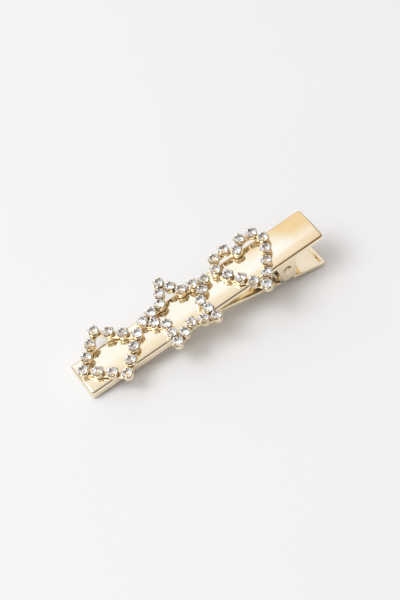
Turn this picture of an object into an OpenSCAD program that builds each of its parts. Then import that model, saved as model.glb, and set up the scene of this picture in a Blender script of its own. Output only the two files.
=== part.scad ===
// Sprung hair clip: two gold-plated sheet-metal jaws on a hinge pin, with a torsion
// spring between them and three claw-set ornaments on the upper jaw.
// The clip is shown closed and standing on a table, on the beak and the lower tail.
// Lengths are in millimetres. In the jaw frame, u runs from beak to tail along the upper
// jaw, v runs across it, and w is the height above its long edges.

/* [Jaws] */
// Length of the upper jaw from beak to tail
clip_len = 60; // [54:0.5:80]
// Width across the jaws
clip_w = 9.2; // [8.6:0.1:14]
// Thickness of the sheet metal
sheet_t = 0.6; // [0.4:0.05:0.8]
// Height of the upper jaw's crown above its long edges
dome_rise = 0.5; // [0.2:0.05:1]
// Outside depth of the upper jaw's turned-down rim
upper_rim = 1; // [0.8:0.05:1.6]
// Height of the lower jaw's turned-up rim above its floor
lower_rim = 0.4; // [0.2:0.05:0.8]
// Radius of the sheet's outer bends
edge_r = 0.4; // [0.2:0.05:0.5]
// Radius of the jaws' corners seen from above
corner_r = 0.35; // [0.25:0.05:1.5]
// Gap between the rims of the closed jaws
jaw_gap = 0.05; // [0.03:0.01:0.2]

/* [Lower jaw's bend] */
// Distance from the beak to the middle of the bend
bend_u = 32.2; // [26:0.1:36]
// Angle between the lower jaw's two halves
bend_angle = 16.8; // [14:0.1:22]
// Radius of the bend at the top of the rim
bend_r = 10; // [4:0.5:20]

/* [Hinge] */
// Distance from the beak to the pin
pin_u = 50; // [48:0.1:51]
// Depth of the pin below the upper jaw's rim
pin_drop = 2.6; // [2.3:0.05:3]
// Radius of the pin
pin_r = 0.7; // [0.5:0.05:0.8]
// Radial gap between the pin and the lower jaw's ears, which turn on it
pin_gap = 0.05; // [0.02:0.01:0.1]
// Radial gap between the pin and the upper jaw's ears, which it is riveted in
rivet_gap = 0.02; // [0.01:0.01:0.05]
// Radius of the pin's riveted heads
head_r = 1.1; // [0.9:0.05:1.5]
// Thickness of the pin's riveted heads
head_t = 0.35; // [0.2:0.05:0.6]
// Width of the upper jaw's ears where they leave the rim
ear_root = 5.2; // [4.8:0.1:6]
// Angle at which the ears' edges close in towards their feet
ear_angle = 12; // [6:0.5:14]
// Depth of the ears' feet below the pin
ear_foot = 2.9; // [2.7:0.05:3]
// Radius of the corners of the ears' feet
foot_r = 0.7; // [0.4:0.05:0.9]
// Radius of the lower jaw's ears round the pin
lower_ear_r = 1.8; // [1.6:0.1:2.3]
// Side gap between the upper and the lower ears
ear_gap = 0.15; // [0.1:0.01:0.3]

/* [Spring] */
// Radius of the spring's wire
wire_r = 0.35; // [0.25:0.05:0.4]
// Whole turns of the coil, before the part turn that its arms leave
spring_turns = 3; // [2:1:3]
// Gap between neighbouring curls
coil_gap = 0.45; // [0.42:0.01:0.6]
// Gap between the pin and the coil
coil_play = 0.2; // [0.16:0.01:0.3]
// Length of each straight arm
arm_len = 6.5; // [4:0.1:8]
// Gap between an arm's end and the jaw that it presses on
arm_gap = 0.1; // [0.05:0.01:0.2]

/* [Stones] */
// Radius of a stone's girdle
stone_r = 1.17; // [1:0.01:1.2]
// Height of a stone's crown
crown_h = 0.33; // [0.25:0.01:0.4]
// Height of a stone's girdle
girdle_h = 0.08; // [0.04:0.01:0.12]
// Depth of a stone's pavilion
pavilion_h = 0.72; // [0.6:0.01:0.9]
// Table's radius as a share of the girdle's
table_share = 0.58; // [0.5:0.01:0.65]

/* [Claw settings] */
// Outer radius of a cup
cup_r = 1.32; // [1.3:0.01:1.34]
// Thickness of a cup's floor under the stone's point
cup_floor = 0.2; // [0.15:0.01:0.3]
// Height of a stone's girdle above the cup's rim
rim_drop = 0.08; // [0.05:0.01:0.15]
// Gap between a stone and its seat and claws
stone_gap = 0.03; // [0.02:0.005:0.05]
// Thickness of a claw
claw_t = 0.22; // [0.15:0.01:0.25]
// Width of a claw
claw_w = 0.4; // [0.3:0.01:0.5]
// How far a claw's tip reaches in over the stone
claw_grip = 0.26; // [0.15:0.01:0.3]

/* [Ornament rails] */
// Thickness of the rail that carries the cups
rail_t = 0.55; // [0.4:0.05:0.8]
// Width of the rail between cups
rail_w = 1.5; // [1:0.1:2]
// Radius of the rail's pad under each cup
pad_r = 1.15; // [1:0.05:1.3]
// Gap between the rails and the jaw's crown, filled by solder
rail_gap = 0.02; // [0.01:0.01:0.05]

/* [Lozenge] */
// Distance from the beak to the lozenge's centre
lozenge_u = 8.4; // [8.3:0.1:9.5]
// Offset of the lozenge's centre from the middle of the jaw
lozenge_v = 0.4; // [-0.5:0.1:0.5]
// Distance from the lozenge's centre to its corner stones
lozenge_half = 6.9; // [6.4:0.1:7]
// Steps from stone to stone along one side of the lozenge
lozenge_steps = 3; // [2:1:3]

/* [Star] */
// Distance from the beak to the star's centre
star_u = 25.7; // [25:0.1:26]
// Offset of the star's centre from the middle of the jaw
star_v = -0.4; // [-1:0.1:0]
// Distance from the star's centre to its tip stones
star_tip = 8.4; // [8.4:0.1:9]
// Distance from the star's centre to its notch stones
star_notch = 4.6; // [4.5:0.1:4.8]
// Steps from stone to stone along one edge of the star
star_steps = 2; // [1:1:2]

/* [Heart] */
// Distance from the beak to the heart's centre
heart_u = 43.2; // [43:0.1:44]
// Radius of the heart's lobes through their stones
lobe_r = 3.2; // [3.1:0.05:3.4]
// Sideways distance from the heart's centre to a lobe's centre
lobe_off = 3.05; // [2.8:0.05:3.05]
// Distance from the lobes' centres down to the tip stone
heart_drop = 10.6; // [9.5:0.1:11]
// Steps from stone to stone along one half of the heart
heart_steps = 7; // [6:1:7]

/* [Hidden] */
$fn = 64;
// Overrun of every cut past the face that it opens
over = 0.5;
// Flat strips in the lower jaw's bend and how far each runs into its neighbours
bend_strips = 6;
bend_lap = 0.3;
// Steps in a rounded edge or corner and across the crown of the upper jaw
edge_steps = 5;
dome_steps = 16;
star_points = 5;
// Sides of a cut stone and its turn from the last one, as stones lie loosely in their cups
cut_sides = 16;
stone_turn = 17;
// Rings in one curl of the spring and sides of its wire
curl_rings = 8;
wire_sides = 6;

gold = [0.93, 0.8, 0.55];
pale_gold = [0.96, 0.87, 0.68];
steel = [0.75, 0.74, 0.72];
crystal = [0.86, 0.9, 0.96];

half_w = clip_w / 2;
// Crown of the upper jaw, an arc through both long edges
dome_r = (half_w * half_w + dome_rise * dome_rise) / (2 * dome_rise);
dome_w = dome_rise - dome_r;

// Lower jaw, whose rim meets the upper jaw's rim
meet_w = -upper_rim - jaw_gap;
tray_h = lower_rim + sheet_t;
bend_start = bend_u - bend_r * tan(bend_angle / 2);
bend_end = [bend_start + bend_r * sin(bend_angle), meet_w - bend_r * (1 - cos(bend_angle))];
strip_turn = bend_angle / bend_strips;
tail_len = clip_len - bend_start - bend_r * bend_angle * PI / 180;

// Places in the tail's own frame, given in the jaw frame as [u, w]
function from_tail(x, z) = bend_end
    + [x * cos(bend_angle) + z * sin(bend_angle), z * cos(bend_angle) - x * sin(bend_angle)];
function to_tail(p) = let (d = p - bend_end)
    [d[0] * cos(bend_angle) - d[1] * sin(bend_angle), d[0] * sin(bend_angle) + d[1] * cos(bend_angle)];

pin_w = -upper_rim - pin_drop;
tail_pin = to_tail([pin_u, pin_w]);
ear_half = half_w - sheet_t - ear_gap;
pin_half = half_w + ear_gap / 2;

// Centre of a foot corner of the upper ears, from the pin, and the corner's reach round it
foot_centre = [
    ear_root / 2 - ((pin_drop + ear_foot - foot_r) * sin(ear_angle) + foot_r) / cos(ear_angle),
    foot_r - ear_foot
];
ear_reach = norm(foot_centre) + foot_r;
// The lower jaw's sides are cut away where those corners sweep past its rims
waist_half = ear_gap + sqrt(max(0, ear_reach * ear_reach - tail_pin[1] * tail_pin[1]));

// Coil and the slopes at which its arms leave towards the tail
coil_r = pin_r + coil_play + wire_r;
coil_pitch = 2 * wire_r + coil_gap;
arm_reach = sqrt(coil_r * coil_r + arm_len * arm_len);
function arm_slope(rise) = atan2(arm_len, coil_r) - acos(rise / arm_reach);
upper_arm = arm_slope(dome_rise - sheet_t - pin_w - wire_r - arm_gap);
lower_arm = bend_angle + arm_slope(tail_pin[1] + lower_rim - wire_r - arm_gap);
coil_sweep = 360 * spring_turns + 180 - upper_arm - lower_arm;
coil_span = coil_pitch * coil_sweep / 360;
coil_steps = ceil(coil_sweep * curl_rings / 360);

// Heights in the ornaments, counted from the jaw's long edges
rail_base = dome_rise + rail_gap;
cup_base = rail_base + rail_t;
cup_h = cup_floor + pavilion_h - rim_drop;
girdle_top = cup_floor + pavilion_h + girdle_h;
table_r = stone_r * table_share;
crown_slope = crown_h / (stone_r - table_r);

// Rows of stones. Each motif is a closed loop of places given as [u, v]
function spaced(corners, steps) = [
    for (k = [0 : len(corners) - 1], j = [0 : steps - 1])
        corners[k] + (corners[(k + 1) % len(corners)] - corners[k]) * j / steps
];
lozenge_corners = [for (k = [0 : 3]) lozenge_half * [cos(90 * k), sin(90 * k)]];
star_corners = [
    for (k = [0 : 2 * star_points - 1])
        let (a = 90 + 180 * k / star_points) (k % 2 == 0 ? star_tip : star_notch) * [cos(a), sin(a)]
];
// The heart's right half is a straight from the tip and an arc round the lobe to the cleft
heart_reach = norm([lobe_off, heart_drop]);
heart_side = sqrt(heart_reach * heart_reach - lobe_r * lobe_r);
side_dir = atan2(heart_drop, lobe_off) - asin(lobe_r / heart_reach);
lobe_arc = 90 - side_dir + 180 - acos(lobe_off / lobe_r);
half_heart = heart_side + lobe_r * lobe_arc * PI / 180;
function heart_place(s) = s < heart_side
    ? [s * cos(side_dir), s * sin(side_dir) - heart_drop]
    : let (a = side_dir - 90 + (s - heart_side) / lobe_r * 180 / PI)
        [lobe_off + lobe_r * cos(a), lobe_r * sin(a)];
heart_loop = [
    for (j = [0 : 2 * heart_steps - 1])
        let (p = heart_place(min(j, 2 * heart_steps - j) * half_heart / heart_steps))
            [j <= heart_steps ? p[0] : -p[0], p[1]]
];
// The heart's tip stands as far out on one side as the star's top on the other
heart_v = heart_drop - star_v - star_tip;

function moved(loop, centre) = [for (p = loop) p + centre];
lozenge_places = moved(spaced(lozenge_corners, lozenge_steps), [lozenge_u, lozenge_v]);
star_places = moved(spaced(star_corners, star_steps), [star_u, star_v]);
heart_places = moved(heart_loop, [heart_u, heart_v]);

// Direction of the row at one stone, from its two neighbours
function row_dir(places, i) = let (
    n = len(places),
    d = places[(i + 1) % n] - places[(i + n - 1) % n]
) atan2(d[1], d[0]);

// The clip's slope and place as it stands on its beak and its lower tail
beak_foot = [0, meet_w - tray_h];
tail_foot = from_tail(tail_len, -tray_h);
slope = atan2(beak_foot[1] - tail_foot[1], tail_foot[0] - beak_foot[0]);
function row_x(p) = p[0] * cos(slope) - p[1] * sin(slope);
function row_z(p) = p[0] * sin(slope) + p[1] * cos(slope);
left_x = min(
    row_x([0, dome_rise - edge_r]),
    row_x([lozenge_u - lozenge_half - cup_r, cup_base + cup_h])
);
right_x = max(row_x([clip_len, -upper_rim]), row_x(from_tail(tail_len, 0)), row_x(tail_foot));
mid_x = (left_x + right_x) / 2;
lift = -row_z(beak_foot);

function numbered(name, i) = str(name, i < 9 ? "0" : "", i + 1);
function stone_names(name, places) = [for (i = [0 : len(places) - 1]) numbered(name, i)];

// Places what is drawn in the jaw frame as the clip stands on the table
module standing() {
    translate([-mid_x, 0, lift]) rotate([0, -slope, 0]) children();
}

module in_tail_frame() {
    translate([bend_end[0], 0, bend_end[1]]) rotate([0, bend_angle, 0]) children();
}

// Extrudes a section drawn in v and w along u
module along_u(length) {
    rotate([90, 0, 90]) linear_extrude(length) children();
}

// Extrudes a shape drawn in u and w across the clip, from v = start
module across(start, width) {
    translate([0, start + width, 0]) rotate([90, 0, 0]) linear_extrude(width) children();
}

function arc(centre, r, from, to, steps) = [
    for (i = [0 : steps])
        let (a = from + (to - from) * i / steps) centre + r * [cos(a), sin(a)]
];

// Outline of the upper jaw's section over its crown, from the right rim to the left
edge_centre = [
    half_w - edge_r,
    dome_w + sqrt(pow(dome_r - edge_r, 2) - pow(half_w - edge_r, 2))
];
edge_turn = atan2(edge_centre[1] - dome_w, edge_centre[0]);
crown_outline = concat(
    arc(edge_centre, edge_r, 0, edge_turn, edge_steps),
    arc([0, dome_w], dome_r, edge_turn, 180 - edge_turn, dome_steps),
    arc([-edge_centre[0], edge_centre[1]], edge_r, 180 - edge_turn, 180, edge_steps)
);
inner_turn = acos((half_w - sheet_t) / (dome_r - sheet_t));
crown_inside = arc([0, dome_w], dome_r - sheet_t, 180 - inner_turn, inner_turn, dome_steps);

module upper_solid_section() {
    polygon(concat([[half_w, -upper_rim]], crown_outline, [[-half_w, -upper_rim]]));
}

module upper_section() {
    polygon(concat(
        [[half_w, -upper_rim]], crown_outline, [[-half_w, -upper_rim]],
        [[sheet_t - half_w, -upper_rim]], crown_inside, [[half_w - sheet_t, -upper_rim]]
    ));
}

// One end of a jaw seen from above, with its corners rounded
module rounded_end() {
    translate([0, corner_r - half_w]) square([corner_r, clip_w - 2 * corner_r]);
    for (side = [-1, 1]) translate([corner_r, side * (half_w - corner_r)]) circle(corner_r);
}

module upper_outline() {
    union() {
        translate([corner_r, -half_w]) square([clip_len - 2 * corner_r, clip_w]);
        rounded_end();
        translate([clip_len, 0]) mirror([1, 0]) rounded_end();
    }
}

// Side view of the upper jaw, with its end bends rounded
module upper_side_view() {
    polygon(concat(
        [[0, -upper_rim], [clip_len, -upper_rim]],
        arc([clip_len - edge_r, dome_rise - edge_r], edge_r, 0, 90, edge_steps),
        arc([edge_r, dome_rise - edge_r], edge_r, 90, 180, edge_steps)
    ));
}

// Side view of an upper ear: a tab that closes in from the rim to its rounded feet
module upper_ear() {
    translate([pin_u, pin_w]) difference() {
        polygon(concat(
            [[ear_root / 2, pin_drop + sheet_t], [-ear_root / 2, pin_drop + sheet_t]],
            [[-ear_root / 2, pin_drop]],
            arc([-foot_centre[0], foot_centre[1]], foot_r, 180 + ear_angle, 270, edge_steps),
            arc(foot_centre, foot_r, 270, 360 - ear_angle, edge_steps),
            [[ear_root / 2, pin_drop]]
        ));
        circle(pin_r + rivet_gap);
    }
}

module upper_jaw() {
    color(gold) standing() union() {
        intersection() {
            union() {
                along_u(clip_len) upper_section();
                along_u(sheet_t) upper_solid_section();
                translate([clip_len - sheet_t, 0, 0]) along_u(sheet_t) upper_solid_section();
            }
            translate([0, 0, -upper_rim - over])
                linear_extrude(upper_rim + dome_rise + 2 * over) upper_outline();
            across(-half_w - over, clip_w + 2 * over) upper_side_view();
        }
        for (start = [-half_w, half_w - sheet_t]) across(start, sheet_t) upper_ear();
    }
}

// Section of a solid bar for the lower jaw in v and w, with the rims' tops at w = 0
bar_section = concat(
    arc([half_w - edge_r, edge_r - tray_h], edge_r, -90, 0, edge_steps),
    [[half_w, over], [-half_w, over]],
    arc([edge_r - half_w, edge_r - tray_h], edge_r, 180, 270, edge_steps)
);

// One straight stretch of the lower jaw as a solid bar, with rounded corners at its far end
module end_bar(length) {
    intersection() {
        translate([-bend_lap, 0, 0]) along_u(length + bend_lap) polygon(bar_section);
        translate([0, 0, -tray_h - over]) linear_extrude(tray_h + 2 * over) union() {
            translate([-2 * bend_lap, -half_w]) square([length - corner_r + 2 * bend_lap, clip_w]);
            translate([length, 0]) mirror([1, 0]) rounded_end();
        }
    }
}

// Side view of the lower jaw between two levels over its rims, from x = start to the tail
function bend_line(level) = arc(
    [bend_start, meet_w - bend_r], bend_r + level, 90, 90 - bend_angle, bend_strips
);
function jaw_view(start, end, low, high) = concat(
    [[start, meet_w + high]], bend_line(high), [from_tail(end, high)],
    [from_tail(end, low)], [for (i = [bend_strips : -1 : 0]) bend_line(low)[i]], [[start, meet_w + low]]
);

module lower_ear() {
    difference() {
        union() {
            translate([tail_pin[0] - lower_ear_r, -tray_h])
                square([2 * lower_ear_r, tail_pin[1] + tray_h]);
            translate(tail_pin) circle(lower_ear_r);
        }
        translate(tail_pin) circle(pin_r + pin_gap);
    }
}

module lower_jaw() {
    strip_len = 2 * bend_r * sin(strip_turn / 2);
    color(pale_gold) standing() union() {
        difference() {
            intersection() {
                union() {
                    translate([bend_start, 0, meet_w]) mirror([1, 0, 0]) end_bar(bend_start);
                    for (i = [0 : bend_strips - 1])
                        let (start = bend_line(0)[i])
                            translate([start[0], 0, start[1]]) rotate([0, (i + 0.5) * strip_turn, 0])
                                translate([-bend_lap, 0, 0])
                                    along_u(strip_len + 2 * bend_lap) polygon(bar_section);
                    in_tail_frame() end_bar(tail_len);
                }
                across(-half_w - over, clip_w + 2 * over)
                    polygon(jaw_view(-over, tail_len + over, -tray_h - over, 0));
            }
            across(sheet_t - half_w, clip_w - 2 * sheet_t)
                polygon(jaw_view(sheet_t, tail_len - sheet_t, -lower_rim, 2 * over));
            in_tail_frame()
                for (side = [0, 1])
                    mirror([0, side, 0])
                        translate([tail_pin[0] - waist_half, ear_half, -tray_h - over])
                            cube([2 * waist_half, half_w - ear_half + over, tray_h + 2 * over]);
        }
        in_tail_frame()
            for (start = [-ear_half, ear_half - sheet_t]) across(start, sheet_t) lower_ear();
    }
}

module hinge_pin() {
    head = pin_half + head_t;
    color(pale_gold) standing() translate([pin_u, 0, pin_w]) rotate([90, 0, 0])
        rotate_extrude() polygon([
            [0, -head], [head_r - head_t / 2, -head], [head_r, -head + head_t / 2],
            [head_r, -pin_half], [pin_r, -pin_half], [pin_r, pin_half],
            [head_r, pin_half], [head_r, head - head_t / 2], [head_r - head_t / 2, head], [0, head]
        ]);
}

// Rings along the spring's wire: each has a centre [u, v, w] and an outward angle
first_turn = 90 + upper_arm;
spring_rings = concat(
    [[[arm_len * cos(upper_arm), 0, arm_len * sin(upper_arm)]
        + [coil_r * cos(first_turn), -coil_span / 2, coil_r * sin(first_turn)], first_turn]],
    [
        for (i = [0 : coil_steps])
            let (t = i / coil_steps, a = first_turn + coil_sweep * t)
                [[coil_r * cos(a), coil_span * (t - 0.5), coil_r * sin(a)], a]
    ],
    [[[arm_len * cos(lower_arm), 0, -arm_len * sin(lower_arm)]
        + [coil_r * cos(270 - lower_arm), coil_span / 2, coil_r * sin(270 - lower_arm)],
        270 - lower_arm]]
);

spring_gap = min([
    for (i = [0 : len(spring_rings) - 1], j = [i + curl_rings / 2 : 1 : len(spring_rings) - 1])
        norm(spring_rings[i][0] - spring_rings[j][0]) - 2 * wire_r
]);
echo(least_gap_between_curls = spring_gap);

module torsion_spring() {
    last = len(spring_rings) - 1;
    points = [
        for (ring = spring_rings, k = [0 : wire_sides - 1])
            let (a = 360 * k / wire_sides)
                ring[0] + wire_r * (cos(a) * [cos(ring[1]), 0, sin(ring[1])] + sin(a) * [0, 1, 0])
    ];
    sides = [
        for (i = [0 : last - 1], k = [0 : wire_sides - 1], half = [0, 1])
            let (a = i * wire_sides + k, b = i * wire_sides + (k + 1) % wire_sides)
                half == 0 ? [b, a, a + wire_sides] : [b, a + wire_sides, b + wire_sides]
    ];
    caps = [
        [for (k = [0 : wire_sides - 1]) k],
        [for (k = [wire_sides - 1 : -1 : 0]) last * wire_sides + k]
    ];
    color(steel) standing() translate([pin_u, 0, pin_w]) polyhedron(points, concat(sides, caps));
}

// Flat rail under a motif: a pad under each cup and a bar to the next
module rail(places) {
    n = len(places);
    translate([0, 0, rail_base]) linear_extrude(rail_t) union() {
        for (i = [0 : n - 1]) {
            step = places[(i + 1) % n] - places[i];
            translate(places[i]) circle(pad_r);
            translate(places[i]) rotate(atan2(step[1], step[0]))
                translate([0, -rail_w / 2]) square([norm(step), rail_w]);
        }
    }
}

// Side view of one claw, bent in over the stone's crown
claw_in = stone_r + stone_gap;
claw_out = claw_in + claw_t;
claw_tip = stone_r - claw_grip;
claw_side = [
    [claw_in - claw_t, cup_floor], [claw_out - claw_t / 2, cup_floor], [claw_out, cup_floor + claw_t],
    [claw_out, girdle_top + claw_t / 2], [claw_in, girdle_top + claw_grip * crown_slope + claw_t],
    [claw_tip, girdle_top + claw_grip * crown_slope + stone_gap + claw_t],
    [claw_tip, girdle_top + claw_grip * crown_slope + 2 * stone_gap],
    [claw_in, girdle_top + stone_gap], [claw_in, cup_h - claw_t], [claw_in - claw_t, cup_h - 2 * claw_t]
];

// One setting: a cup with a seat for the stone's pavilion and four claws
module claw_cup() {
    seat_slope = stone_r / pavilion_h;
    union() {
        difference() {
            cylinder(r = cup_r, h = cup_h);
            translate([0, 0, cup_floor - stone_gap])
                cylinder(r1 = 0, r2 = (cup_h - cup_floor + stone_gap + over) * seat_slope,
                    h = cup_h - cup_floor + stone_gap + over);
        }
        for (turn = [45 : 90 : 315]) rotate([0, 0, turn])
            across(-claw_w / 2, claw_w) polygon(claw_side);
    }
}

module claws(places) {
    for (i = [0 : len(places) - 1])
        translate([places[i][0], places[i][1], cup_base])
            rotate([0, 0, row_dir(places, i)]) claw_cup();
}

// A round brilliant: an eight-sided table, crown and pavilion on a sixteen-sided girdle
function circlet(n, r, z, turn) = [
    for (k = [0 : n - 1]) [r * cos(turn + 360 * k / n), r * sin(turn + 360 * k / n), z]
];
table_sides = cut_sides / 2;
stone_points = concat(
    circlet(table_sides, table_r, pavilion_h + girdle_h + crown_h, 0),
    circlet(cut_sides, stone_r, pavilion_h + girdle_h, 0),
    circlet(cut_sides, stone_r, pavilion_h, 0),
    [[0, 0, 0]]
);
upper_girdle = table_sides;
lower_girdle = table_sides + cut_sides;
culet = table_sides + 2 * cut_sides;
stone_faces = concat(
    [[for (k = [table_sides - 1 : -1 : 0]) k]],
    [
        for (k = [0 : table_sides - 1])
            let (next = (k + 1) % table_sides) [k, next, upper_girdle + 2 * k + 1]
    ],
    [
        for (k = [0 : table_sides - 1], side = [0, 1])
            let (
                main = upper_girdle + 2 * k,
                before = upper_girdle + (2 * k + cut_sides - 1) % cut_sides
            ) side == 0 ? [k, main + 1, main] : [k, main, before]
    ],
    [
        for (k = [0 : cut_sides - 1], half = [0, 1])
            let (
                a = upper_girdle + k, b = upper_girdle + (k + 1) % cut_sides,
                c = lower_girdle + k, d = lower_girdle + (k + 1) % cut_sides
            ) half == 0 ? [a, b, c] : [b, d, c]
    ],
    [for (k = [0 : cut_sides - 1]) [lower_girdle + k, lower_girdle + (k + 1) % cut_sides, culet]]
);

module stone(places, i) {
    color(crystal) standing() translate([places[i][0], places[i][1], cup_base + cup_floor])
        rotate([0, 0, stone_turn * i]) polyhedron(stone_points, stone_faces);
}

module lozenge_rail() { color(gold) standing() rail(lozenge_places); }
module lozenge_claws() { color(gold) standing() claws(lozenge_places); }
module star_rail() { color(gold) standing() rail(star_places); }
module star_claws() { color(gold) standing() claws(star_places); }
module heart_rail() { color(gold) standing() rail(heart_places); }
module heart_claws() { color(gold) standing() claws(heart_places); }
module lozenge_stone(i) { stone(lozenge_places, i); }
module star_stone(i) { stone(star_places, i); }
module heart_stone(i) { stone(heart_places, i); }

upper_jaw();
lower_jaw();
hinge_pin();
torsion_spring();
lozenge_rail();
lozenge_claws();
star_rail();
star_claws();
heart_rail();
heart_claws();
for (i = [0 : len(lozenge_places) - 1])
    lozenge_stone(i);
for (i = [0 : len(star_places) - 1])
    star_stone(i);
for (i = [0 : len(heart_places) - 1])
    heart_stone(i);
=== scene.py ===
# Sprung hair clip: polished gold-plated sheet jaws, claw-set stones, riveted hinge and spring
import math

import bmesh
import bpy
from mathutils import Matrix, Vector


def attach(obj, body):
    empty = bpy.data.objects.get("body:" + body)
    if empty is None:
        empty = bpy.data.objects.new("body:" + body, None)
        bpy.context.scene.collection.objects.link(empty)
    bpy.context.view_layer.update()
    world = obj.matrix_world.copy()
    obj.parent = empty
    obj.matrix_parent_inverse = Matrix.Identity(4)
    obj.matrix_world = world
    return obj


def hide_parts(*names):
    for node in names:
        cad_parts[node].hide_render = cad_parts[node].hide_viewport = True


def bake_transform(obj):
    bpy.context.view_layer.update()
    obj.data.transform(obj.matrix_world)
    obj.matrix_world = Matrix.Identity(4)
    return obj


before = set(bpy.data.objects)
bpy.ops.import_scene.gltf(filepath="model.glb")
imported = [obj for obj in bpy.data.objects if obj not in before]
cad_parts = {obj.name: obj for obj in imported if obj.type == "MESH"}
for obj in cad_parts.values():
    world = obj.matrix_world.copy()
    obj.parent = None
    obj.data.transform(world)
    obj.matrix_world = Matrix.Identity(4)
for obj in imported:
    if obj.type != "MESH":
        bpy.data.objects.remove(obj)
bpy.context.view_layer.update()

# Sizes of the clip, in millimetres and degrees. Pieces are shaped in the upper jaw's frame:
# x from beak to tail along the jaw, y across it, z above its long edges
CLIP_LEN, CLIP_W, SHEET_T = 60.0, 9.2, 0.6
DOME_RISE, UPPER_RIM, LOWER_RIM = 0.5, 1.0, 0.4
EDGE_R, JAW_GAP = 0.4, 0.05
BEND_U, BEND_ANGLE, BEND_R, BEND_STRIPS = 32.2, 16.8, 10.0, 6
PIN_U, PIN_DROP, PIN_R, HEAD_R, HEAD_T = 50.0, 2.6, 0.7, 1.1, 0.35
EAR_ROOT, EAR_ANGLE, EAR_FOOT, FOOT_R, LOWER_EAR_R, EAR_GAP = 5.2, 12.0, 2.9, 0.7, 1.8, 0.15
WIRE_R, SPRING_TURNS, COIL_GAP, COIL_PLAY, ARM_LEN, ARM_GAP = 0.35, 3, 0.45, 0.2, 6.5, 0.1
STONE_R, CROWN_H, GIRDLE_H, PAVILION_H, TABLE_SHARE = 1.17, 0.33, 0.08, 0.72, 0.58
CUP_R, CUP_FLOOR, RIM_DROP, STONE_GAP = 1.32, 0.2, 0.08, 0.03
CLAW_T, CLAW_W = 0.22, 0.4
RAIL_T, RAIL_W, PAD_R, RAIL_GAP = 0.55, 1.5, 1.15, 0.02
# The motifs, each from its middle x and y. Lozenge: half its diagonal, gaps between stones on a side
LOZENGE = (8.4, 0.4, 6.9, 3)
# Star: radius of its tips, radius of its notches, gaps from a tip to a notch
STAR = (25.7, -0.4, 8.4, 4.6, 2)
# Heart: middle x alone, radius and offset of its lobes, depth of its point, gaps on each half
HEART = (43.2, 3.2, 3.05, 10.6, 7)
# How much further each stone is turned than the one before it
STONE_TURN = 17.0

# Finish of the dressed pieces: the upper jaw's rolled edges and both jaws' corners show wider in the
# photograph than in the solids. Cut edges are softened by as much of LIP_BEVEL as their corners allow
UPPER_ROLL, CORNER_R, LIP_BEVEL = 0.6, 0.65, 0.07
CORNER_STEPS, ROLL_STEPS, EAR_STEPS, CROWN_STRIPS = 8, 6, 12, 14
EAR_ROUND_SHARE = 0.98
HEAD_SLOPE, HEAD_DROP_SHARE, DIMPLE_RIM, DIMPLE_SLOPE, DIMPLE_DEPTH = 0.16, 0.4, 0.42, 0.12, 0.1
SOFT_EDGE, RAIL_EDGE = 0.05, 0.09
CUP_FOOT_SHARE, CUP_LIP_SHARE, CUP_WALL = 0.84, 0.95, 0.13
# How far the cup's rim dips, from the first point beside a claw to halfway between two claws
RIM_DIPS = (0.04, 0.14, 0.24, 0.28)
CLAW_LOW, CLAW_OVER, CLAW_LEAN, CLAW_TOP_BAND = 0.05, 0.03, 0.16, 0.05
# What is left of the claw's foot along x, y and z
CLAW_FOOT_SHARES = (0.8, 0.85, 1)
# The claw's three bends over the girdle: step outwards, rise, and what is left of its width
CLAW_BENDS = ((-0.10, 0.16, 0.95), (-0.13, 0.10, 0.95), (-0.12, 0.02, 0.9))
# Height of a bar's middle and of the bar itself, as shares of the rail's
BAR_MIDDLE_SHARE, BAR_SHARE = 0.47, 0.9
PAVILION_ANGLE, STAR_FACET_EASE, UPPER_HALF_STEEP, LOWER_HALF_EASE = 41.0, 12, 5, 3
MAIN_FACETS, HALF_FACET_SHARE, FOIL_FACES_BELOW = 8, 0.985, -0.2
PIN_SIDES, WIRE_SIDES, COIL_STEPS, CUP_SIDES, PAD_SIDES, GIRDLE_SIDES = 40, 14, 96, 32, 36, 48

# How nearly a normal has to lie along an axis, and how near a place counts as at it or in a row
FACING, NEAR, SAME_ROW = 0.9, 0.01, 0.00002

MM_IN_M = 1000
HALF_W = CLIP_W / 2
DOME_R = (HALF_W ** 2 + DOME_RISE ** 2) / (2 * DOME_RISE)
MEET_Z = -UPPER_RIM - JAW_GAP
TRAY_H = LOWER_RIM + SHEET_T
PIN_Z = -UPPER_RIM - PIN_DROP
BEND = math.radians(BEND_ANGLE)
BEND_START = BEND_U - BEND_R * math.tan(BEND / 2)
BEND_END = (BEND_START + BEND_R * math.sin(BEND), MEET_Z - BEND_R * (1 - math.cos(BEND)))
STRIP_LEN = 2 * BEND_R * math.sin(BEND / BEND_STRIPS / 2)
TAIL_LEN = CLIP_LEN - BEND_START - BEND_R * BEND
EAR_HALF = HALF_W - SHEET_T - EAR_GAP
PIN_HALF = HALF_W + EAR_GAP / 2
CUP_BASE = DOME_RISE + RAIL_GAP + RAIL_T
CUP_H = CUP_FLOOR + PAVILION_H - RIM_DROP
GIRDLE_TOP = CUP_FLOOR + PAVILION_H + GIRDLE_H
CULET_R = STONE_R - PAVILION_H / math.tan(math.radians(PAVILION_ANGLE))


def tail_point(x, z):
    """A place in the lower tail's frame, as (x, z) in the upper jaw's frame."""
    return (BEND_END[0] + x * math.cos(BEND) + z * math.sin(BEND),
            BEND_END[1] - x * math.sin(BEND) + z * math.cos(BEND))


dx, dz = PIN_U - BEND_END[0], PIN_Z - BEND_END[1]
TAIL_PIN = (dx * math.cos(BEND) - dz * math.sin(BEND), dx * math.sin(BEND) + dz * math.cos(BEND))
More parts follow.
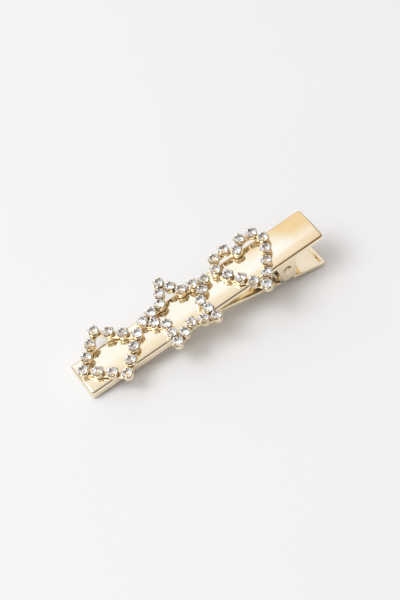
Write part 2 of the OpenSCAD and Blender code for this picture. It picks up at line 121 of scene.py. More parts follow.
# Half the width of the upper ears at their feet, and how far the feet sweep past the lower jaw's rims
EAR_SLANT = math.radians(EAR_ANGLE)
FOOT_HALF = EAR_ROOT / 2 - (PIN_DROP + EAR_FOOT) * math.tan(EAR_SLANT)
FOOT_X = EAR_ROOT / 2 - ((PIN_DROP + EAR_FOOT - FOOT_R) * math.sin(EAR_SLANT) + FOOT_R) / math.cos(EAR_SLANT)
EAR_REACH = math.hypot(FOOT_X, EAR_FOOT - FOOT_R) + FOOT_R
WAIST = 2 * (EAR_GAP + math.sqrt(max(0.0, EAR_REACH ** 2 - TAIL_PIN[1] ** 2)))
foot_x, foot_z = tail_point(TAIL_LEN, -TRAY_H)
SLOPE = math.atan2(MEET_Z - TRAY_H - foot_z, foot_x)


def along(x, z):
    return x * math.cos(SLOPE) - z * math.sin(SLOPE)


def above(x, z):
    return x * math.sin(SLOPE) + z * math.cos(SLOPE)


# The closed clip stands on its beak and its lower tail, with its middle over the origin, in metres
LEFT = min(along(0, DOME_RISE - EDGE_R), along(LOZENGE[0] - LOZENGE[2] - CUP_R, CUP_BASE + CUP_H))
RIGHT = max(along(CLIP_LEN, -UPPER_RIM), along(*tail_point(TAIL_LEN, 0)), along(foot_x, foot_z))
STANDING = (Matrix.Scale(1 / MM_IN_M, 4)
            @ Matrix.Translation((-(LEFT + RIGHT) / 2, 0, -above(0, MEET_Z - TRAY_H)))
            @ Matrix.Rotation(-SLOPE, 4, "Y"))


# Modelling helpers
def only(obj):
    """Makes obj the one selected and active object."""
    if bpy.context.mode != "OBJECT":
        bpy.ops.object.mode_set(mode="OBJECT")
    bpy.ops.object.select_all(action="DESELECT")
    obj.select_set(True)
    bpy.context.view_layer.objects.active = obj


def settle(obj, matrix=None):
    """Puts an object's place, turn and size into its mesh, or those of a matrix."""
    only(obj)
    if matrix is not None:
        obj.matrix_world = matrix
    bpy.ops.object.transform_apply(location=True, rotation=True, scale=True)


def new_piece(name):
    """Names what was just added, with its size and turn put into its mesh."""
    obj = bpy.context.active_object
    obj.name = obj.data.name = name
    settle(obj)
    return obj


def editing(obj):
    only(obj)
    bpy.ops.object.mode_set(mode="EDIT")


def resting():
    bpy.ops.object.mode_set(mode="OBJECT")


def pick(kind, test):
    """Selects the vertices, edges or faces of the edited mesh that pass a test."""
    bpy.ops.mesh.select_mode(type=kind)
    bpy.ops.mesh.select_all(action="DESELECT")
    data = bpy.context.edit_object.data
    mesh = bmesh.from_edit_mesh(data)
    for item in {"VERT": mesh.verts, "EDGE": mesh.edges, "FACE": mesh.faces}[kind]:
        if test(item):
            item.select_set(True)
    mesh.select_flush_mode()
    bmesh.update_edit_mesh(data)


def cut_across(point, normal, **settings):
    """Cuts the whole edited mesh by a plane."""
    bpy.ops.mesh.select_all(action="SELECT")
    bpy.ops.mesh.bisect(plane_co=point, plane_no=normal, **settings)


def extrude(step):
    """Draws what is selected out by a step."""
    bpy.ops.mesh.extrude_region_move(TRANSFORM_OT_translate={"value": step})


def middle(edge):
    return (edge.verts[0].co + edge.verts[1].co) / 2


def runs(edge):
    return (edge.verts[1].co - edge.verts[0].co).normalized()


def modify(obj, kind, **settings):
    """Adds a modifier, sets it and applies it."""
    only(obj)
    modifier = obj.modifiers.new(kind.lower(), kind)
    for key, value in settings.items():
        setattr(modifier, key, value)
    bpy.ops.object.modifier_apply(modifier=modifier.name)


def soften(obj, width, segments, angle):
    """Bevels the edges that turn by more than an angle in degrees."""
    modify(obj, "BEVEL", width=width, segments=segments, limit_method="ANGLE",
           angle_limit=math.radians(angle))


def smooth(obj, angle=35):
    only(obj)
    bpy.ops.object.shade_smooth_by_angle(angle=math.radians(angle))


def dress(obj, material):
    obj.data.materials.clear()
    obj.data.materials.append(material)


def fit(obj, body, slot_name, material, *nodes):
    """Gives a finished piece its material and lets it stand for its solids."""
    if material:
        dress(obj, material)
    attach(obj, body)
    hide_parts(*nodes)


def joined(pieces, name):
    """Joins pieces into the first of them and names it."""
    bpy.ops.object.select_all(action="DESELECT")
    for piece in pieces:
        piece.select_set(True)
    bpy.context.view_layer.objects.active = pieces[0]
    if len(pieces) > 1:
        bpy.ops.object.join()
    pieces[0].name = pieces[0].data.name = name
    return pieces[0]


def copy_of(obj, name, matrix):
    """A copy with a mesh of its own, placed by a matrix."""
    twin = obj.copy()
    twin.data = obj.data.copy()
    twin.name = twin.data.name = name
    twin.matrix_world = matrix
    bpy.context.scene.collection.objects.link(twin)
    return twin


# Materials
def shader_material(name, **sockets):
    material = bpy.data.materials.new(name)
    material.use_nodes = True
    shader = material.node_tree.nodes["Principled BSDF"]
    for key, value in sockets.items():
        shader.inputs[key.replace("_", " ")].default_value = value
    return material, material.node_tree, shader


def node(tree, kind, inputs=None, **settings):
    made = tree.nodes.new(kind)
    for key, value in settings.items():
        setattr(made, key, value)
    for key, value in (inputs or {}).items():
        if isinstance(value, bpy.types.NodeSocket):
            tree.links.new(value, made.inputs[key])
        else:
            made.inputs[key].default_value = value
    return made


def on_piece(tree):
    """The place on the piece, in metres."""
    return node(tree, "ShaderNodeTexCoord").outputs["Object"]


def noise(tree, vector, scale, detail=3.0, roughness=0.5):
    return node(tree, "ShaderNodeTexNoise",
                {"Vector": vector, "Scale": scale, "Detail": detail, "Roughness": roughness}).outputs["Fac"]


def ranged(tree, value, low, high, from_low=0.3, from_high=0.7):
    """Carries a value over to another range. A noise's usual range is the one it starts from."""
    return node(tree, "ShaderNodeMapRange", {
        "Value": value, "From Min": from_low, "From Max": from_high, "To Min": low, "To Max": high
    }).outputs["Result"]


def stretched(tree, vector, scale):
    return node(tree, "ShaderNodeMapping", {"Vector": vector, "Scale": scale}).outputs["Vector"]


def mixed(tree, factor, first, second):
    mix = tree.nodes.new("ShaderNodeMix")
    mix.data_type = "RGBA"
    tree.links.new(factor, mix.inputs["Factor"])
    for socket, value in ((mix.inputs[6], first), (mix.inputs[7], second)):
        if isinstance(value, bpy.types.NodeSocket):
            tree.links.new(value, socket)
        else:
            socket.default_value = value
    return mix.outputs[2]


def times(tree, first, second):
    product = node(tree, "ShaderNodeMix", data_type="RGBA", blend_type="MULTIPLY")
    product.inputs["Factor"].default_value = 1.0
    tree.links.new(first, product.inputs[6])
    tree.links.new(second, product.inputs[7])
    return product.outputs[2]


def graded(tree, value, stops):
    """A colour ramp with eased steps between its stops, each a position and a colour."""
    grade = node(tree, "ShaderNodeValToRGB", {"Fac": value})
    ramp = grade.color_ramp
    ramp.interpolation = "EASE"
    for element, (position, colour) in zip(ramp.elements, (stops[0], stops[-1])):
        element.position, element.color = position, (*colour, 1)
    for position, colour in stops[1:-1]:
        ramp.elements.new(position).color = (*colour, 1)
    return grade.outputs["Color"]


def bumped(tree, shader, height, distance, strength=1.0, under=None):
    inputs = {"Height": height, "Distance": distance, "Strength": strength}
    if under:
        inputs["Normal"] = under
    normal = node(tree, "ShaderNodeBump", inputs).outputs["Normal"]
    tree.links.new(normal, shader.inputs["Normal"])
    return normal


def coloured(tree, shader, pattern, first, second):
    """Lets a pattern mix two colours for the surface."""
    tree.links.new(mixed(tree, ranged(tree, pattern, 0.0, 1.0), first, second), shader.inputs["Base Color"])


def plated_sheet():
    """Polished gold plating on pressed sheet: slow waves, fine polishing lines and faint smears."""
    deep_gold, pale_gold = (0.96, 0.83, 0.60, 1), (0.98, 0.87, 0.67, 1)
    smear_scale, line_scales, wave_scale = 160.0, (900.0, 16000.0, 9000.0), 75.0
    wave_height, line_height = 0.00025, 0.000002
    smear_rough, line_rough = (0.035, 0.09), (-0.015, 0.03)
    material, tree, shader = shader_material("polished gold plating", Metallic=1.0)
    place = on_piece(tree)
    smear = noise(tree, place, smear_scale, detail=4.0, roughness=0.6)
    coloured(tree, shader, smear, deep_gold, pale_gold)
    lines = noise(tree, stretched(tree, place, line_scales), 1.0, detail=2.0)
    rough = node(tree, "ShaderNodeMath",
                 {0: ranged(tree, smear, *smear_rough), 1: ranged(tree, lines, *line_rough)},
                 operation="ADD").outputs["Value"]
    tree.links.new(rough, shader.inputs["Roughness"])
    waves = bumped(tree, shader, noise(tree, place, wave_scale, detail=1.0), wave_height, strength=0.5)
    bumped(tree, shader, lines, line_height, strength=0.35, under=waves)
    return material


def cast_metal():
    """Plated ornament castings: a fine cast skin, and painted shade, partly tarnish, that makes the recesses
    darker and warmer.
    """
    deep_gold, pale_gold, painted_recess_shade = (0.94, 0.82, 0.58, 1), (0.97, 0.87, 0.67, 1), (0.42, 0.25, 0.10, 1)
    skin_scale, tone_scale, skin_height, recess_reach = 2600.0, 420.0, 0.00003, 0.0012
    skin_rough, recess_shade = (0.12, 0.26), (0.15, 0.8)
    material, tree, shader = shader_material("plated ornament casting", Metallic=1.0)
    place = on_piece(tree)
    skin = noise(tree, place, skin_scale, detail=4.0, roughness=0.6)
    shade = node(tree, "ShaderNodeAmbientOcclusion", {"Distance": recess_reach}, samples=8).outputs["AO"]
    open_gold = mixed(tree, ranged(tree, noise(tree, place, tone_scale), 0.0, 1.0), deep_gold, pale_gold)
    # Ambient occlusion paints shade into the recesses as a dark warm brown, which also stands for tarnish
    # there
    tree.links.new(mixed(tree, ranged(tree, shade, 0.0, 1.0, *recess_shade), painted_recess_shade, open_gold),
                   shader.inputs["Base Color"])
    tree.links.new(ranged(tree, skin, *skin_rough), shader.inputs["Roughness"])
    bumped(tree, shader, skin, skin_height, strength=0.35)
    return material


def spring_wire():
    """Drawn steel wire with a fine grain and a slight straw tint."""
    dark_steel, light_steel = (0.55, 0.52, 0.47, 1), (0.68, 0.65, 0.60, 1)
    spot_scale, grain_scale, grain_height, spot_rough = 1500.0, 6000.0, 0.00001, (0.18, 0.34)
    material, tree, shader = shader_material("drawn spring wire", Metallic=1.0)
    place = on_piece(tree)
    spots = noise(tree, place, spot_scale)
    coloured(tree, shader, spots, dark_steel, light_steel)
    tree.links.new(ranged(tree, spots, *spot_rough), shader.inputs["Roughness"])
    bumped(tree, shader, noise(tree, place, grain_scale, detail=2.0), grain_height, strength=0.4)
    return material


def crystal():
    """Clear lead glass with a few faint polishing marks on its facets."""
    mark_scale, mark_rough, glass_index = 1800.0, (0.0, 0.035), 1.56
    material, tree, shader = shader_material(
        "clear cut crystal", Transmission_Weight=1.0, IOR=glass_index, Base_Color=(1.0, 1.0, 1.0, 1))
    marks = noise(tree, on_piece(tree), mark_scale)
    tree.links.new(ranged(tree, marks, *mark_rough), shader.inputs["Roughness"])
    return material


def silver_foil():
    """Silvered backs of the stones: bright, a little clouded."""
    cloudy, clean = (0.97, 0.97, 0.97, 1), (1.0, 1.0, 1.0, 1)
    cloud_scale, cloud_rough = 1400.0, (0.04, 0.12)
    material, tree, shader = shader_material("silvered stone back", Metallic=1.0)
    cloud = noise(tree, on_piece(tree), cloud_scale)
    coloured(tree, shader, cloud, cloudy, clean)
    tree.links.new(ranged(tree, cloud, *cloud_rough), shader.inputs["Roughness"])
    return material


SHEET_GOLD, CAST_GOLD, WIRE = plated_sheet(), cast_metal(), spring_wire()
GLASS, FOIL = crystal(), silver_foil()


# Jaws
def crown(y):
    """Height of the upper jaw's arc at a distance y from the middle."""
    return DOME_RISE - DOME_R + math.sqrt(max(DOME_R ** 2 - y * y, 0.0))


def open_box(name, length, low, high, up):
    """A box from the beak to length, open below for up = 1 or above for -1, with rounded corners."""
    bpy.ops.mesh.primitive_cube_add(size=1, location=(length / 2, 0, (low + high) / 2),
                                    scale=(length, CLIP_W, high - low))
    box = new_piece(name)
    editing(box)
    pick("FACE", lambda f: f.normal.z * up < -FACING)
    bpy.ops.mesh.delete(type="FACE")
    pick("EDGE", lambda e: abs(runs(e).z) > FACING)
    bpy.ops.mesh.bevel(offset=CORNER_R, segments=CORNER_STEPS, profile=0.5)
    return box


def roll_edges(obj, up, width):
    """Rounds the press edge between a jaw's face and its rim, on the outside only."""
    face_share, rim_share, least_turn = 0.6, 0.35, 0.6
    editing(obj)

    def is_press_edge(edge):
        if len(edge.link_faces) != 2:
            return False
        a, b = (face.normal.z * up for face in edge.link_faces)
        return (max(a, b) > face_share and abs(min(a, b)) < rim_share
                and edge.calc_face_angle_signed(0.0) > least_turn)
    pick("EDGE", is_press_edge)
    bpy.ops.mesh.bevel(offset=width, segments=ROLL_STEPS, profile=0.5)
    resting()


def finish_sheet(obj, up, roll):
    """Gives a pressed shape the sheet's thickness, inwards, and its rolled edges, and smooths it."""
    modify(obj, "SOLIDIFY", thickness=SHEET_T, offset=-1, use_even_offset=True)
    roll_edges(obj, up, roll)
    soften(obj, LIP_BEVEL, segments=2, angle=50)
    smooth(obj)
    modify(obj, "WEIGHTED_NORMAL", keep_sharp=True)
    settle(obj, STANDING)


def make_upper_jaw():
    """The crowned upper jaw, with a rim all round and two ears that taper to rounded feet."""
    jaw = open_box("upper_jaw_sheet", CLIP_LEN, -UPPER_RIM, DOME_RISE, 1)
    for k in range(1, CROWN_STRIPS):
        cut_across((0, CLIP_W * (k / CROWN_STRIPS - 0.5), 0), (0, 1, 0))
    # Each row of points along the jaw goes down from the box's top to the arc
    places = sorted({round(v.co.y, 5) for v in bmesh.from_edit_mesh(jaw.data).verts})
    for y in places:
        pick("VERT", lambda v: abs(v.co.y - y) < SAME_ROW and v.co.z > 0)
        bpy.ops.transform.translate(value=(0, 0, crown(y) - DOME_RISE))
    for side in (-1, 1):
        for cut in (PIN_U - EAR_ROOT / 2, PIN_U + EAR_ROOT / 2):
            pick("FACE", lambda f: f.normal.y * side > FACING)
            bpy.ops.mesh.bisect(plane_co=(cut, 0, 0), plane_no=(1, 0, 0))
        pick("EDGE", lambda e: middle(e).y * side > HALF_W - NEAR and abs(middle(e).x - PIN_U) < EAR_ROOT / 4
             and all(abs(v.co.z + UPPER_RIM) < NEAR for v in e.verts))
        extrude((0, 0, -PIN_DROP - EAR_FOOT))
        bpy.ops.transform.resize(value=(2 * FOOT_HALF / EAR_ROOT, 1, 1), center_override=(PIN_U, 0, PIN_Z))
    pick("VERT", lambda v: v.co.z < PIN_Z - EAR_FOOT / 2)
    bpy.ops.mesh.bevel(affect="VERTICES", offset=FOOT_R * math.tan(math.pi / 4 - EAR_SLANT / 2),
                       segments=CORNER_STEPS, profile=0.5)
    resting()
    finish_sheet(jaw, 1, UPPER_ROLL)
    fit(jaw, "upper_jaw_set", "plated_gold", SHEET_GOLD, "upper_jaw")


def make_lower_jaw():
    """The lower jaw, a tray narrowed at the hinge, with two round ears, its tail bent down."""
    pin_x = BEND_START + BEND_STRIPS * STRIP_LEN + TAIL_PIN[0]
    flat_len = BEND_START + BEND_STRIPS * STRIP_LEN + TAIL_LEN
    jaw = open_box("lower_jaw_sheet", flat_len, -TRAY_H, 0, -1)
    creases = [BEND_START + i * STRIP_LEN for i in range(BEND_STRIPS + 1)]
    for x in creases + [pin_x - WAIST / 2, pin_x - LOWER_EAR_R, pin_x + LOWER_EAR_R, pin_x + WAIST / 2]:
        cut_across((x, 0, 0), (1, 0, 0))
    for y in (-EAR_HALF, EAR_HALF):
        pick("FACE", lambda f: f.normal.z < -FACING)
        bpy.ops.mesh.bisect(plane_co=(0, y, 0), plane_no=(0, 1, 0))
    pick("FACE", lambda f: abs(f.calc_center_median().x - pin_x) < WAIST / 2
         and abs(f.calc_center_median().y) > EAR_HALF)
    bpy.ops.mesh.delete(type="FACE")
    for side in (-1, 1):
        pick("EDGE", lambda e: abs(middle(e).y - side * EAR_HALF) < NEAR
             and abs(middle(e).x - pin_x) < LOWER_EAR_R / 2)
        extrude((0, 0, TRAY_H + TAIL_PIN[1] + LOWER_EAR_R))
    pick("VERT", lambda v: v.co.z > TAIL_PIN[1])
    bpy.ops.mesh.bevel(affect="VERTICES", offset=LOWER_EAR_R * EAR_ROUND_SHARE,
                       segments=EAR_STEPS, profile=0.5)
    # The bend, from its last crease back to its first, with half a turn at either end
    for i in range(BEND_STRIPS, -1, -1):
        pick("VERT", lambda v: v.co.x > creases[i] + NEAR)
        share = 0.5 if i in (0, BEND_STRIPS) else 1.0
        bpy.ops.transform.rotate(value=-share * BEND / BEND_STRIPS, orient_axis="Y",
                                 center_override=(creases[i], 0, 0))
    bpy.ops.mesh.select_all(action="SELECT")
    bpy.ops.transform.translate(value=(0, 0, MEET_Z))
    resting()
    finish_sheet(jaw, -1, EDGE_R)
    fit(jaw, "lower_jaw_set", "plated_gold", SHEET_GOLD, "lower_jaw")


# Hinge
def make_pin():
    """The hinge pin with two hammered heads, each with the dimple of the riveting punch."""
    lying = (math.pi / 2, 0, 0)
    bpy.ops.mesh.primitive_cylinder_add(vertices=PIN_SIDES, radius=PIN_R, depth=2 * PIN_HALF,
                                        location=(PIN_U, 0, PIN_Z), rotation=lying)
    pieces = [new_piece("rivet_shank")]
    for side in (-1, 1):
        bpy.ops.mesh.primitive_cylinder_add(
            vertices=PIN_SIDES, radius=HEAD_R, depth=HEAD_T, rotation=lying,
            location=(PIN_U, side * (PIN_HALF + HEAD_T / 2), PIN_Z))
        head = new_piece("rivet_head")
        editing(head)
        pick("FACE", lambda f: f.normal.y * side > FACING)
        bpy.ops.mesh.inset(thickness=HEAD_SLOPE, depth=0)
        pick("EDGE", lambda e: abs(middle(e).y - side * (PIN_HALF + HEAD_T)) < NEAR and all(
            abs(math.hypot(v.co.x - PIN_U, v.co.z - PIN_Z) - HEAD_R) < 2 * NEAR for v in e.verts))
        bpy.ops.transform.translate(value=(0, -side * HEAD_T * HEAD_DROP_SHARE, 0))
        pick("FACE", lambda f: f.normal.y * side > FACING)
        bpy.ops.mesh.inset(thickness=DIMPLE_RIM, depth=0)
        bpy.ops.mesh.inset(thickness=DIMPLE_SLOPE, depth=-DIMPLE_DEPTH)
        resting()
        soften(head, SOFT_EDGE, segments=2, angle=25)
        pieces.append(head)
    pin = joined(pieces, "hinge_rivet")
    smooth(pin)
    settle(pin, STANDING)
    fit(pin, "upper_jaw_set", "plated_gold", SHEET_GOLD, "hinge_pin")


def make_spring():
    """The torsion spring: a coil about the pin and two straight arms."""
    coil_r = PIN_R + COIL_PLAY + WIRE_R
    reach = math.hypot(coil_r, ARM_LEN)

    def arm_slope(rise):
        return math.atan2(ARM_LEN, coil_r) - math.acos(rise / reach)
    upper = arm_slope(DOME_RISE - SHEET_T - PIN_Z - WIRE_R - ARM_GAP)
    lower = BEND + arm_slope(TAIL_PIN[1] + LOWER_RIM - WIRE_R - ARM_GAP)
    sweep = 2 * math.pi * SPRING_TURNS + math.pi - upper - lower
    span = (2 * WIRE_R + COIL_GAP) * sweep / (2 * math.pi)
    # A ring square to the wire is screwed about the pin's axis
    bpy.ops.mesh.primitive_circle_add(vertices=WIRE_SIDES, radius=WIRE_R, location=(coil_r, 0, 0))
    spring = new_piece("spring_wire")
    modify(spring, "SCREW", axis="Y", angle=-sweep, screw_offset=span, steps=COIL_STEPS,
           render_steps=COIL_STEPS, use_smooth_shade=True, use_normal_calculate=True)
    settle(spring, Matrix.Rotation(-(math.pi / 2 + upper), 4, "Y") @ Matrix.Translation((0, -span / 2, 0)))
    editing(spring)
    # Each open end is drawn out into its arm and closed
    for end, slope in ((-1, upper), (1, -lower)):
        pick("EDGE", lambda e: len(e.link_faces) == 1 and middle(e).y * end > 0)
        extrude((ARM_LEN * math.cos(slope), 0, ARM_LEN * math.sin(slope)))
        bpy.ops.mesh.edge_face_add()
    bpy.ops.mesh.select_all(action="SELECT")
    bpy.ops.mesh.normals_make_consistent(inside=False)
    bpy.ops.transform.translate(value=(PIN_U, 0, PIN_Z))
    resting()
    smooth(spring, angle=50)
    settle(spring, STANDING)
    dress(spring, WIRE)
    # The arm at -y lies against the upper jaw and the one at +y against the lower jaw, and the coil
    # winds up between them
    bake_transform(spring)
    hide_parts("torsion_spring")


# Places of the stones on the upper jaw, each motif one closed row
def spaced(corners, gaps):
    """Points from each corner to the next, with so many equal gaps between them."""
    places = []
    for k, corner in enumerate(corners):
        step = corners[(k + 1) % len(corners)] - corner
        places += [corner + step * j / gaps for j in range(gaps)]
    return places


def turned(angle):
    return Vector((math.cos(math.radians(angle)), math.sin(math.radians(angle))))


def lozenge_row():
    x, y, half, gaps = LOZENGE
    return [p + Vector((x, y)) for p in spaced([half * turned(90 * k) for k in range(4)], gaps)]


def star_row():
    x, y, tip, notch, gaps = STAR
    tips = 5
    corners = [(notch if k % 2 else tip) * turned(90 + 180 * k / tips) for k in range(2 * tips)]
    return [p + Vector((x, y)) for p in spaced(corners, gaps)]


def heart_row():
    """Straight sides up from the point, then round the lobes, at equal steps along the line."""
    x, lobe_r, lobe_off, drop, gaps = HEART
    reach = math.hypot(lobe_off, drop)
    side = math.sqrt(reach ** 2 - lobe_r ** 2)
    heading = math.atan2(drop, lobe_off) - math.asin(lobe_r / reach)
    half = side + lobe_r * (math.pi / 2 - heading + math.pi - math.acos(lobe_off / lobe_r))
    # Its point reaches as far over the near edge as the star's tip over the far one
    y = drop - STAR[1] - STAR[2]
    row = []
    for j in range(2 * gaps):
        s = min(j, 2 * gaps - j) * half / gaps
        if s < side:
            p = Vector((s * math.cos(heading), s * math.sin(heading) - drop))
        else:
            a = heading - math.pi / 2 + (s - side) / lobe_r
            p = Vector((lobe_off + lobe_r * math.cos(a), lobe_r * math.sin(a)))
        row.append(Vector((p.x if j <= gaps else -p.x, p.y)) + Vector((x, y)))
    return row


def heading_at(row, i):
    """The way the row runs at a stone, from the stone before it to the one after."""
    d = row[(i + 1) % len(row)] - row[i - 1]
    return math.atan2(d.y, d.x)


# Ornaments
def from_claw(co):
    """Angle in degrees between a point of the cup and the nearest of its four claws."""
    turn = math.degrees(math.atan2(co.y, co.x)) % 90
    return min(turn, 90 - turn)


def make_cup():
    """A flared cup with a conical seat and a rim that dips between the claws."""
    bpy.ops.mesh.primitive_cylinder_add(vertices=CUP_SIDES, radius=CUP_R, depth=CUP_H,
                                        location=(0, 0, CUP_H / 2))
    cup = new_piece("claw_setting")
    editing(cup)
    for way, share in ((-1, CUP_FOOT_SHARE), (1, CUP_LIP_SHARE)):
        pick("FACE", lambda f: f.normal.z * way > FACING)
        bpy.ops.transform.resize(value=(share, share, 1))
    bpy.ops.mesh.inset(thickness=CUP_WALL, depth=0)
    extrude((0, 0, CUP_FLOOR - CUP_H))
    seat_share = (CULET_R + STONE_GAP) / (CUP_R * CUP_LIP_SHARE - CUP_WALL)
    bpy.ops.transform.resize(value=(seat_share, seat_share, 1))
    step = 360 / CUP_SIDES
    for k, dip in enumerate(RIM_DIPS, 1):
        pick("VERT", lambda v: v.co.z > CUP_H - NEAR and abs(from_claw(v.co) - k * step) < step / 4)
        bpy.ops.transform.translate(value=(0, 0, -dip))
    resting()
    soften(cup, SOFT_EDGE, segments=2, angle=35)
    return cup


def make_claw():
    """A claw that leans out from the cup's foot and bends in over the stone, with a rounded tip."""
    bpy.ops.mesh.primitive_cube_add(
        size=1, location=(STONE_R + STONE_GAP + CLAW_T / 2, 0, (GIRDLE_TOP + CLAW_OVER + CLAW_LOW) / 2),
        scale=(CLAW_T, CLAW_W, GIRDLE_TOP - (CLAW_LOW - CLAW_OVER)))
    claw = new_piece("claw")
    editing(claw)
    pick("FACE", lambda f: f.normal.z < -FACING)
    bpy.ops.transform.translate(value=(-CLAW_LEAN, 0, 0))
    bpy.ops.transform.resize(value=CLAW_FOOT_SHARES)
    for reach, rise, taper in CLAW_BENDS:
        pick("FACE", lambda f: f.normal.z > FACING / 2
             and f.calc_center_median().z > GIRDLE_TOP - CLAW_TOP_BAND)
        extrude((reach, 0, rise))
        bpy.ops.transform.resize(value=(1.0, taper, 1.0))
    resting()
    soften(claw, SOFT_EDGE, segments=1, angle=40)
    modify(claw, "SUBSURF", levels=1, render_levels=1)
    return claw


def make_setting():
    """One claw setting: the cup with its four claws."""
    cup, claw = make_cup(), make_claw()
    claws = [claw] + [copy_of(claw, "claw", Matrix.Rotation(k * math.pi / 2, 4, "Z")) for k in (1, 2, 3)]
    setting = joined([cup] + claws, "claw_setting")
    settle(setting, Matrix.Rotation(math.pi / 4, 4, "Z"))
    smooth(setting, angle=40)
    return setting


def make_pad():
    """One round pad of an ornament's rail."""
    bpy.ops.mesh.primitive_cylinder_add(vertices=PAD_SIDES, radius=PAD_R, depth=RAIL_T,
                                        location=(0, 0, RAIL_T / 2))
    pad = new_piece("rail_pad")
    soften(pad, RAIL_EDGE, segments=3, angle=50)
    smooth(pad, angle=40)
    return pad


def make_bar(length):
    """One bar of a rail, between two pads and a little lower than they are."""
    bpy.ops.mesh.primitive_cube_add(size=1, location=(length / 2, 0, RAIL_T * BAR_MIDDLE_SHARE),
                                    scale=(length, RAIL_W, RAIL_T * BAR_SHARE))
    bar = new_piece("rail_bar")
    soften(bar, RAIL_EDGE, segments=3, angle=50)
    smooth(bar, angle=40)
    return bar


def grind(tilt, turn, distance, height):
    """Grinds one facet: takes off what lies beyond a plane tilted from the table's."""
    tilt, turn = math.radians(tilt), math.radians(turn)
    normal = Vector((math.sin(tilt) * math.cos(turn), math.sin(tilt) * math.sin(turn), math.cos(tilt)))
    cut_across((distance * math.cos(turn), distance * math.sin(turn), height), normal,
               use_fill=True, clear_outer=True)


def make_stone():
    """A round brilliant ground facet by facet: kites and the back's mains, then stars, then halves."""
    high = PAVILION_H + GIRDLE_H + CROWN_H
    bpy.ops.mesh.primitive_cylinder_add(vertices=GIRDLE_SIDES, radius=STONE_R, depth=high,
                                        location=(0, 0, high / 2))
    stone = new_piece("cut_stone")
    editing(stone)
    table, half_r = STONE_R * TABLE_SHARE, STONE_R * HALF_FACET_SHARE
    kite, back = math.degrees(math.atan2(CROWN_H, STONE_R - table)), 180 - PAVILION_ANGLE
    step = 360 / MAIN_FACETS
    for k in range(MAIN_FACETS):
        grind(kite, step * k, table, high)
        grind(back, step * k, CULET_R, 0)
    for k in range(MAIN_FACETS):
        grind(kite - STAR_FACET_EASE, step * (k + 0.5), table * math.cos(math.radians(step / 2)), high)
    for k in range(2 * MAIN_FACETS):
        grind(kite + UPPER_HALF_STEEP, step * (k + 0.5) / 2, half_r, PAVILION_H + GIRDLE_H)
        grind(back - LOWER_HALF_EASE, step * (k + 0.5) / 2, half_r, PAVILION_H)
    resting()
    stone.data.materials.append(GLASS)
    stone.data.materials.append(FOIL)
    for face in stone.data.polygons:
        face.material_index = 1 if face.normal.z < FOIL_FACES_BELOW else 0
    return stone


def make_ornaments():
    """The three castings, each a rail and a row of settings, with their stones one by one."""
    setting, pad, stone = spare = make_setting(), make_pad(), make_stone()
    on_crown = Matrix.Translation((0, 0, DOME_RISE + RAIL_GAP))
    for motif, row in (("lozenge", lozenge_row()), ("star", star_row()), ("heart", heart_row())):
        cups, rails = [], []
        for i, place in enumerate(row):
            ahead = row[(i + 1) % len(row)] - place
            at = Matrix.Translation((place.x, place.y, 0))
            bar = make_bar(ahead.length)
            bar.matrix_world = at @ on_crown @ Matrix.Rotation(math.atan2(ahead.y, ahead.x), 4, "Z")
            rails += [bar, copy_of(pad, "rail_pad", at @ on_crown)]
            cups.append(copy_of(setting, "claw_setting", at @ Matrix.Translation((0, 0, CUP_BASE))
                                @ Matrix.Rotation(heading_at(row, i), 4, "Z")))
            number = f"{i + 1:02d}"
            gem = copy_of(stone, f"{motif}_crystal_{number}", STANDING @ at
                          @ Matrix.Translation((0, 0, CUP_BASE + CUP_FLOOR))
                          @ Matrix.Rotation(math.radians(STONE_TURN * i), 4, "Z"))
            settle(gem)
            fit(gem, "upper_jaw_set", "crystal", None, f"{motif}_stone_{number}")
        for group, name, solid in ((rails, "base", "rail"), (cups, "settings", "claws")):
            for piece in group:
                settle(piece)
            whole = joined(group, f"{motif}_{name}")
            settle(whole, STANDING)
            fit(whole, "upper_jaw_set", "cast_gold", CAST_GOLD, f"{motif}_{solid}")
    for piece in spare:
        bpy.data.objects.remove(piece)


make_upper_jaw()
make_lower_jaw()
make_pin()
make_spring()
make_ornaments()


# Studio
def make_floor():
    floor_size, below_clip, tone_scale = 4, 0.00005, 9.0
    grey_white, cool_white = (0.89, 0.912, 0.942, 1), (0.905, 0.927, 0.957, 1)
    bpy.ops.mesh.primitive_plane_add(size=floor_size, location=(0, 0, -below_clip))
    floor = new_piece("studio_floor")
    material, tree, shader = shader_material("pale studio floor", Roughness=0.85)
    coloured(tree, shader, noise(tree, on_piece(tree), tone_scale), grey_white, cool_white)
    floor.data.materials.append(material)


def make_key_light():
    """One soft window high on the left, which lays the clip's shadow to its right."""
    place, width, power, colour = (-0.52, 0.2, 0.83), 0.55, 4.3, (1.0, 0.99, 0.98)
    bpy.ops.object.light_add(type="AREA", location=place)
    lamp = bpy.context.active_object
    lamp.name = "key softbox"
    lamp.data.shape = "RECTANGLE"
    lamp.data.size = lamp.data.size_y = width
    lamp.data.energy = power
    lamp.data.color = colour
    lamp.rotation_euler = (-Vector(place)).to_track_quat("-Z", "Y").to_euler()


def agreement(tree, way, towards):
    """How nearly a direction agrees with another: 1 is the same and 0 is square to it."""
    return node(tree, "ShaderNodeVectorMath", {0: way, 1: Vector(towards).normalized()},
                operation="DOT_PRODUCT").outputs["Value"]


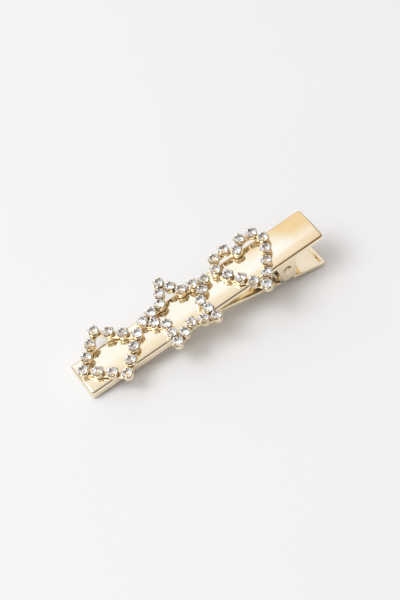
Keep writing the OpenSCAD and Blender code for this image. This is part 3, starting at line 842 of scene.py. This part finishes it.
def make_world():
    """The room that the polished metal mirrors, all of it worked out from the direction alone."""
    world = bpy.data.worlds.new("soft studio")
    bpy.context.scene.world = world
    world.use_nodes = True
    tree = world.node_tree
    ground = tree.nodes["Background"]
    way = node(tree, "ShaderNodeTexCoord").outputs["Generated"]
    sides = node(tree, "ShaderNodeSeparateXYZ", {0: way})
    black, white = (0.0, 0.0, 0.0), (1.0, 1.0, 1.0)
    # The walls by height: dim at the horizon, a broad cool window above it, warmer and dimmer overhead
    cool_window = (1.03, 1.13, 1.3)
    walls = graded(tree, sides.outputs["Z"], (
        (0.0, (0.40, 0.38, 0.35)), (0.15, (0.75, 0.74, 0.73)), (0.30, (0.98, 0.99, 1.01)),
        (0.45, (1.0, 1.06, 1.15)), (0.62, cool_window), (0.84, cool_window),
        (0.92, (1.0, 1.0, 1.02)), (1.0, (0.88, 0.84, 0.77))))
    # A small white card overhead, which lies as a bright wedge on the upper jaw's tail
    overhead_way, cool_card = (0.14, 0.45, 0.88), (1.04, 1.16, 1.42, 1)
    wedge = graded(tree, agreement(tree, way, overhead_way), ((0.989, black), (0.996, white)))
    walls = mixed(tree, wedge, walls, cool_card)
    # From left to right: dim walls, an open white middle, a warm card, a paler card and a dark corner
    warm_card, pale_card = (0.90, 0.68, 0.41), (0.85, 0.76, 0.68)
    card_stops = ((-0.8, (0.60, 0.57, 0.52)), (-0.45, (0.70, 0.67, 0.63)), (-0.28, white), (0.097, white),
                  (0.125, warm_card), (0.34, warm_card), (0.48, pale_card), (0.63, pale_card),
                  (0.76, (0.25, 0.20, 0.15)))
    across = ranged(tree, sides.outputs["X"], 0.0, 1.0, -1.0, 1.0)
    cards = graded(tree, across, [((1 + x) / 2, colour) for x, colour in card_stops])
    # The room is dim in front, which the near rolled edges show as a brown line
    front_way = (0.30, -0.92, 0.25)
    front = graded(tree, agreement(tree, way, front_way), (
        (0.25, white), (0.60, (0.83, 0.81, 0.80)), (0.80, (0.60, 0.55, 0.52)),
        (0.90, (0.40, 0.34, 0.30)), (0.96, (0.20, 0.15, 0.11))))
    tree.links.new(times(tree, times(tree, walls, cards), front), ground.inputs["Color"])
    ground.inputs["Strength"].default_value = 1.0


def make_camera():
    """The photograph's camera, found by fitting the clip's corners and stones. Lengths in millimetres."""
    target, distance, right_shift, up_shift = Vector((0.25, 0.0, 5.53)), 400.4, 0.351, 0.232
    azimuth, elevation, roll = (math.radians(a) for a in (-26.204, 51.394, 8.894))
    back = Vector((math.sin(azimuth) * math.cos(elevation), -math.cos(azimuth) * math.cos(elevation),
                   math.sin(elevation)))
    right = Vector((math.cos(azimuth), math.sin(azimuth), 0))
    up = back.cross(right)
    c, s = math.cos(roll), math.sin(roll)
    rows = (c * right - s * up, s * right + c * up, back)
    place = target + (rows[0] * right_shift + rows[1] * up_shift + rows[2] * distance)
    data = bpy.data.cameras.new("photograph view")
    data.lens, data.sensor_width, data.sensor_fit = 113.44, 36.0, "AUTO"
    data.clip_start, data.clip_end = 0.01, 10.0
    camera = bpy.data.objects.new("photograph view", data)
    bpy.context.scene.collection.objects.link(camera)
    camera.matrix_world = Matrix.Translation(place / MM_IN_M) @ Matrix(rows).transposed().to_4x4()
    bpy.context.scene.camera = camera


make_floor()
make_key_light()
make_world()
make_camera()
bpy.context.scene.view_settings.view_transform = "Standard"
